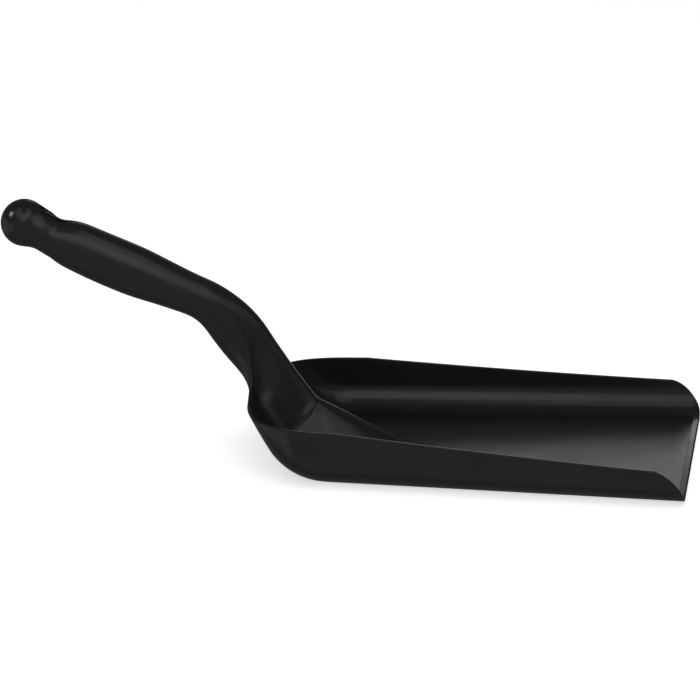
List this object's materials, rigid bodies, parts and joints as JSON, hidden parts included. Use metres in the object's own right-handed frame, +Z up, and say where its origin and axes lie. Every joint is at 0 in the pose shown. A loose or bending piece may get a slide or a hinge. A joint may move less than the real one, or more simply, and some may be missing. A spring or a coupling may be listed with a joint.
{
  "type": "grain scoop shovel",
  "caption": "Hand shovel for grain: a flat open-fronted pan with low side walls, a ridge-backed neck and a short grip with a hanging slot and a knob.",
  "frame": {"origin": "on the ground under the middle of the overall length, on the plane of symmetry", "axes": "+X towards the pan's lip, +Y to the left when looking along +X, +Z up"},
  "size_m": [0.55, 0.2752, 0.1972],
  "materials": {
    "black_polypropylene": "satin moulded polypropylene with a soft gloss"
  },
  "bodies": {
    "root": {"scoop_body": "black_polypropylene", "end_cap": "black_polypropylene"}
  },
  "joints": []
}
